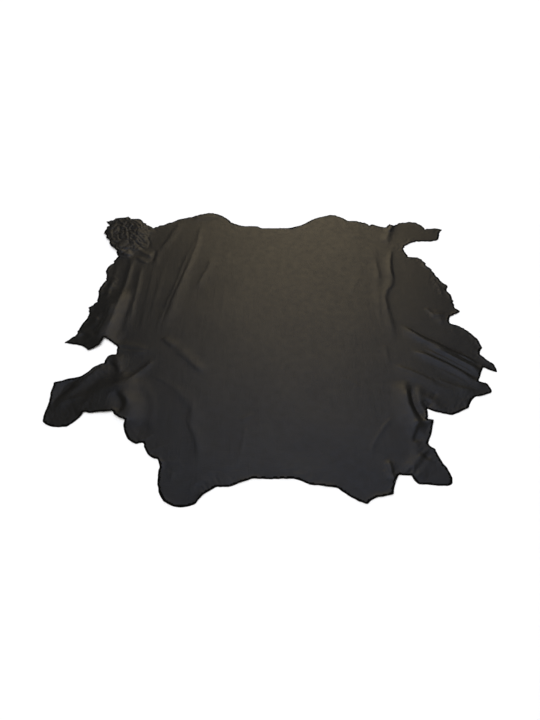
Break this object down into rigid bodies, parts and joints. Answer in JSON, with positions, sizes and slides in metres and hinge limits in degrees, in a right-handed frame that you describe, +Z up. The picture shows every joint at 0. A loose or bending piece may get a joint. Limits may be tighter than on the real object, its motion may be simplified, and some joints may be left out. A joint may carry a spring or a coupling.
{
  "type": "leather hide",
  "caption": "Whole dark leather hide laid out flat, with its shanks, uneven trimmed edge, soft storage folds and one crumpled hind shank.",
  "frame": {"origin": "middle of the hide's box, on the surface that it lies on", "axes": "+Y along the backbone from the neck to the rump, +Z up from the surface to the grain side, +X to the right seen from the neck"},
  "size_m": [2.2994, 2.3367, 0.0156],
  "materials": {
    "leather": "satin, fine grain"
  },
  "bodies": {
    "root": {"hide": "leather"}
  },
  "joints": []
}
